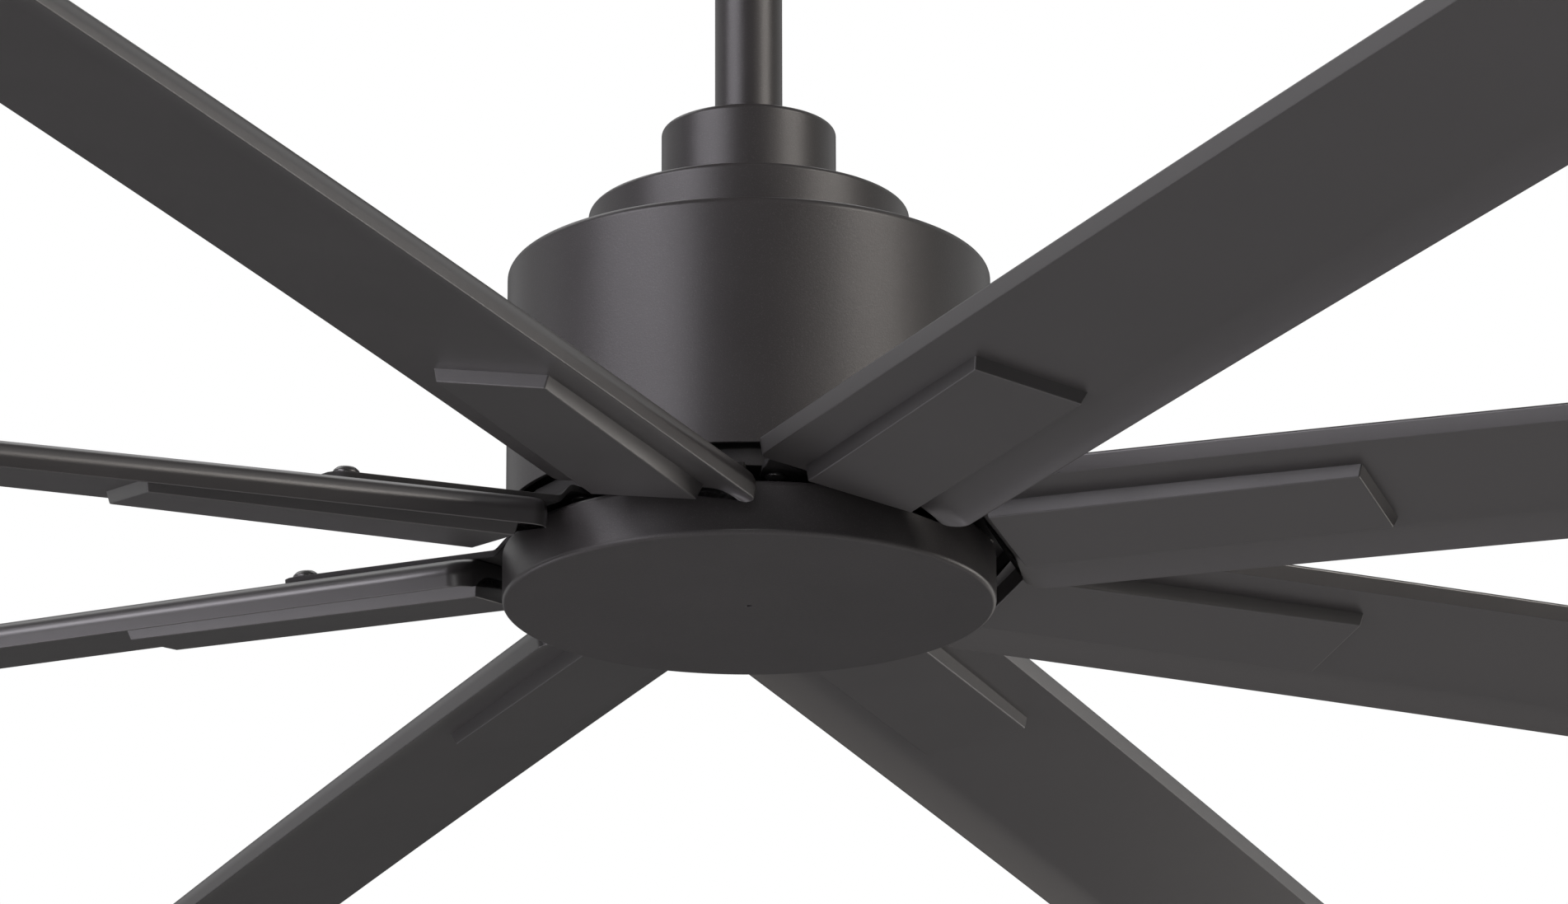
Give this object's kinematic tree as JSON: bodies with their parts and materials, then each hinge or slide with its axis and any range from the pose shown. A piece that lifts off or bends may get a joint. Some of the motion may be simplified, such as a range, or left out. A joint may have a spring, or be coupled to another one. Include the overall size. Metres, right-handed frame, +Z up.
{
  "type": "outdoor ceiling fan",
  "caption": "Outdoor ceiling fan: wide pitched blades on irons under a drum motor housing, short downrod, hanger ball and round canopy.",
  "frame": {"origin": "Middle of the ceiling bracket's top face, in the ceiling plane, on the fan's axis.", "axes": "+Z up out of the ceiling face; -Y towards the viewer of the picture; +X to that viewer's right."},
  "size_m": [1.5638, 1.5638, 0.3828],
  "materials": {
    "powder_bronze": "fine-textured dark bronze powder coat",
    "blade_bronze": "moulded blade, satin dark bronze",
    "zinc_steel": "zinc-plated steel",
    "screw_black": "blackened screw",
    "ball_nylon": "moulded black nylon",
    "cast_iron": "cast yoke, unpainted",
    "cast_aluminium": "die-cast aluminium",
    "lamination_steel": "stacked electrical steel",
    "winding_copper": "enamelled copper wire",
    "ferrite": "sintered ferrite magnet",
    "board_green": "lacquered circuit board"
  },
  "bodies": {
    "ceiling_mount": {"ceiling_bracket": "zinc_steel", "canopy": "powder_bronze", "canopy_screw_1": "screw_black", "canopy_screw_2": "screw_black"},
    "fan_body": {"hanger_ball": "ball_nylon", "ball_cross_pin": "zinc_steel", "ball_set_screw": "screw_black", "downrod": "powder_bronze", "coupling_cover": "powder_bronze", "motor_yoke": "cast_iron", "clevis_pin": "zinc_steel", "clevis_pin_clip": "zinc_steel", "yoke_set_screw_1": "screw_black", "yoke_set_screw_2": "screw_black", "housing_top_cover": "powder_bronze", "control_board": "board_green", "motor_housing": "powder_bronze", "housing_bolt_1": "zinc_steel", "housing_bolt_2": "zinc_steel", "housing_bolt_3": "zinc_steel", "housing_bolt_4": "zinc_steel", "motor_shaft": "zinc_steel", "upper_bearing": "zinc_steel", "lower_bearing": "zinc_steel", "stator_core": "lamination_steel", "stator_windings": "winding_copper", "cap_plate": "powder_bronze", "shaft_nut": "zinc_steel", "bottom_cap": "powder_bronze"},
    "rotor": {"rotor_lower_shell": "powder_bronze", "rotor_upper_shell": "cast_aluminium", "magnet_ring": "ferrite", "rotor_screw_1": "screw_black", "rotor_screw_2": "screw_black", "rotor_screw_3": "screw_black", "rotor_screw_4": "screw_black", "rotor_screw_5": "screw_black", "rotor_screw_6": "screw_black", "blade_iron_1": "powder_bronze", "blade_iron_2": "powder_bronze", "blade_iron_3": "powder_bronze", "blade_iron_4": "powder_bronze", "blade_iron_5": "powder_bronze", "blade_iron_6": "powder_bronze", "blade_iron_7": "powder_bronze", "blade_iron_8": "powder_bronze", "blade_1": "blade_bronze", "blade_2": "blade_bronze", "blade_3": "blade_bronze", "blade_4": "blade_bronze", "blade_5": "blade_bronze", "blade_6": "blade_bronze", "blade_7": "blade_bronze", "blade_8": "blade_bronze"}
  },
  "joints": [
    {"name": "hanger_tilt", "type": "hinge", "parent": "ceiling_mount", "child": "fan_body", "pos_m": [0, 0, -0.042], "axis": [0, 1, 0], "range_deg": [-15, 15]},
    {"name": "rotor_spin", "type": "hinge", "parent": "fan_body", "child": "rotor", "pos_m": [0, 0, -0.3142], "axis": [0, 0, 1], "continuous": true}
  ]
}
